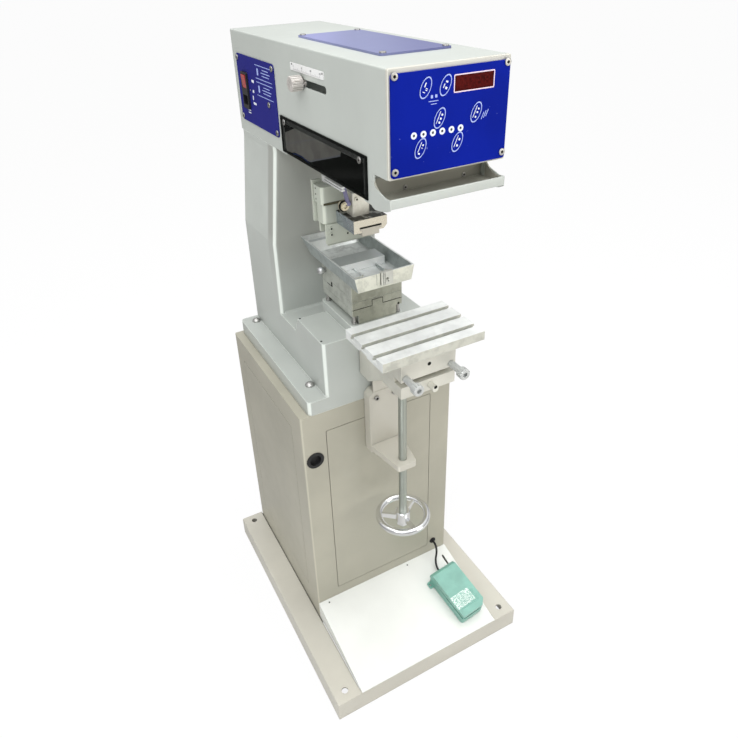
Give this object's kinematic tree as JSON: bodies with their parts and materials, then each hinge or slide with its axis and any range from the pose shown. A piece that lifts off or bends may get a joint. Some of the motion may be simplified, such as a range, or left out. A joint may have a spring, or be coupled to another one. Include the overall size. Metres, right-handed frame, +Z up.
{
  "type": "pad printing machine",
  "caption": "Floor standing pad printing machine: cabinet, cast column, head with sliding pad carriage, ink tray on a cross stage, slotted table on a screw jack, foot switch.",
  "frame": {"origin": "on the floor in the middle of the footprint", "axes": "+X to the machine's right, -Y towards the operator, +Z up"},
  "size_m": [0.458, 0.6, 1.276],
  "materials": {
    "grey_paint": "satin light grey enamel",
    "tread_paint": "satin near-white enamel",
    "steel": "bright machined steel",
    "zinc_steel": "zinc plated steel",
    "chrome": "polished chrome plate",
    "aluminium": "machined aluminium",
    "black_rubber": "matt rubber",
    "black_plastic": "matt moulded plastic",
    "blue_membrane": "printed membrane",
    "key_membrane": "embossed membrane key",
    "blue_cover": "satin blue enamel",
    "dark_blue": "satin dark blue enamel",
    "red_window": "dark red display window",
    "lamp_lens": "small lamp lens",
    "red_plastic": "red moulded plastic",
    "white_plate": "white printed strip",
    "smoked_acrylic": "smoked acrylic",
    "green_paint": "hammered green enamel"
  },
  "bodies": {
    "frame": {"base_frame": "grey_paint", "tread_plate": "tread_paint", "cabinet_shell": "grey_paint", "front_cover_panel": "grey_paint", "side_cover_panels": "grey_paint", "hole_plug": "black_rubber", "cable_grommet": "black_rubber", "cast_frame": "grey_paint", "casting_screws": "zinc_steel", "jack_bracket": "grey_paint", "stage_base": "steel", "levelling_screws": "zinc_steel", "head_frame": "grey_paint", "head_cover": "grey_paint", "top_cover_plate": "blue_cover", "front_frame": "grey_paint", "control_panel": "blue_membrane", "display_window": "red_window", "status_lamps": "lamp_lens", "side_plate": "dark_blue", "power_inlet": "black_plastic", "scale_plate": "white_plate", "side_windows": "smoked_acrylic", "head_screws": "zinc_steel", "trough_tray": "grey_paint", "guide_rods": "chrome", "stroke_cylinder": "aluminium", "pedal_base": "green_paint", "pedal_cable": "black_rubber"},
    "rocker": {"rocker_switch": "red_plastic"},
    "stroke_setting": {"stroke_knob": "aluminium"},
    "carriage_body": {"carriage": "aluminium", "cylinder_rod": "chrome", "pad_cylinder": "aluminium"},
    "pad_body": {"pad_ram": "chrome", "pad_holder_block": "chrome", "pad_insert_plate": "aluminium"},
    "doctor_body": {"doctor_rods": "chrome", "doctor_block": "aluminium", "doctor_bracket": "grey_paint", "doctor_plate": "grey_paint"},
    "stage_y_body": {"stage_middle": "steel"},
    "stage_x_body": {"stage_top": "steel", "ink_tray": "aluminium", "tray_clamp": "aluminium"},
    "stage_lock": {"stage_knob": "chrome"},
    "knee_body": {"knee_block": "grey_paint"},
    "saddle_body": {"saddle_block": "grey_paint"},
    "table_body": {"t_slot_table": "aluminium"},
    "left_clamp": {"clamp_screw_left": "zinc_steel"},
    "right_clamp": {"clamp_screw_right": "zinc_steel"},
    "jack_screw": {"lead_screw": "zinc_steel", "handwheel": "chrome"},
    "treadle_body": {"pedal_treadle": "green_paint"},
    "key_body_1": {"key_1": "key_membrane"},
    "key_body_2": {"key_2": "key_membrane"},
    "key_body_3": {"key_3": "key_membrane"},
    "key_body_4": {"key_4": "key_membrane"},
    "key_body_5": {"key_5": "key_membrane"},
    "key_body_6": {"key_6": "key_membrane"}
  },
  "joints": [
    {"name": "carriage_stroke", "type": "slide", "parent": "frame", "child": "carriage_body", "axis": [0, 1, 0], "range_m": [-0.15, 0]},
    {"name": "pad_stroke", "type": "slide", "parent": "carriage_body", "child": "pad_body", "axis": [0, 0, 1], "range_m": [-0.045, 0]},
    {"name": "doctor_lift", "type": "slide", "parent": "carriage_body", "child": "doctor_body", "axis": [0, 0, 1], "range_m": [-0.01, 0]},
    {"name": "stroke_knob_slide", "type": "slide", "parent": "frame", "child": "stroke_setting", "axis": [0, 1, 0], "range_m": [-0.075, 0.025]},
    {"name": "rocker_swing", "type": "hinge", "parent": "frame", "child": "rocker", "pos_m": [-0.0986, 0.235, 1.1855], "axis": [0, 1, 0], "range_deg": [0, 10]},
    {"name": "stage_y", "type": "slide", "parent": "frame", "child": "stage_y_body", "axis": [0, 1, 0], "range_m": [-0.006, 0.006]},
    {"name": "stage_x", "type": "slide", "parent": "stage_y_body", "child": "stage_x_body", "axis": [1, 0, 0], "range_m": [-0.006, 0.006]},
    {"name": "stage_lock_turn", "type": "hinge", "parent": "stage_x_body", "child": "stage_lock", "pos_m": [-0.05, 0.03, 0.8645], "axis": [1, 0, 0], "range_deg": [-90, 90]},
    {"name": "screw_turn", "type": "hinge", "parent": "knee_body", "child": "jack_screw", "pos_m": [0, -0.17, 0.369], "axis": [0, 0, 1], "range_deg": [-6300, 7200]},
    {"name": "knee_lift", "type": "slide", "parent": "frame", "child": "knee_body", "axis": [0, 0, 1], "range_m": [-0.035, 0.04]},
    {"name": "saddle_slide", "type": "slide", "parent": "knee_body", "child": "saddle_body", "axis": [0, 1, 0], "range_m": [-0.01, 0.01]},
    {"name": "table_slide", "type": "slide", "parent": "saddle_body", "child": "table_body", "axis": [1, 0, 0], "range_m": [-0.025, 0.025]},
    {"name": "left_clamp_turn", "type": "hinge", "parent": "saddle_body", "child": "left_clamp", "pos_m": [-0.045, -0.27, 0.779], "axis": [0, 1, 0], "range_deg": [-180, 180]},
    {"name": "right_clamp_turn", "type": "hinge", "parent": "saddle_body", "child": "right_clamp", "pos_m": [0.045, -0.27, 0.779], "axis": [0, 1, 0], "range_deg": [-180, 180]},
    {"name": "treadle_press", "type": "hinge", "parent": "frame", "child": "treadle_body", "pos_m": [0.1213, -0.16032, 0.09127], "axis": [0.9945, 0.1019, 0.0235], "range_deg": [0, 4], "stiffness_Nm_per_rad": 6, "springref_deg": -11.46},
    {"name": "key_1_press", "type": "slide", "parent": "frame", "child": "key_body_1", "axis": [0, 1, 0], "range_m": [0, 0.0005], "stiffness_N_per_m": 800, "springref_m": -0.001},
    {"name": "key_2_press", "type": "slide", "parent": "frame", "child": "key_body_2", "axis": [0, 1, 0], "range_m": [0, 0.0005], "stiffness_N_per_m": 800, "springref_m": -0.001},
    {"name": "key_3_press", "type": "slide", "parent": "frame", "child": "key_body_3", "axis": [0, 1, 0], "range_m": [0, 0.0005], "stiffness_N_per_m": 800, "springref_m": -0.001},
    {"name": "key_4_press", "type": "slide", "parent": "frame", "child": "key_body_4", "axis": [0, 1, 0], "range_m": [0, 0.0005], "stiffness_N_per_m": 800, "springref_m": -0.001},
    {"name": "key_5_press", "type": "slide", "parent": "frame", "child": "key_body_5", "axis": [0, 1, 0], "range_m": [0, 0.0005], "stiffness_N_per_m": 800, "springref_m": -0.001},
    {"name": "key_6_press", "type": "slide", "parent": "frame", "child": "key_body_6", "axis": [0, 1, 0], "range_m": [0, 0.0005], "stiffness_N_per_m": 800, "springref_m": -0.001}
  ],
  "couplings": [
    {"joint": "knee_lift", "follows": "screw_turn", "m_per_rad": 0.00031831}
  ]
}
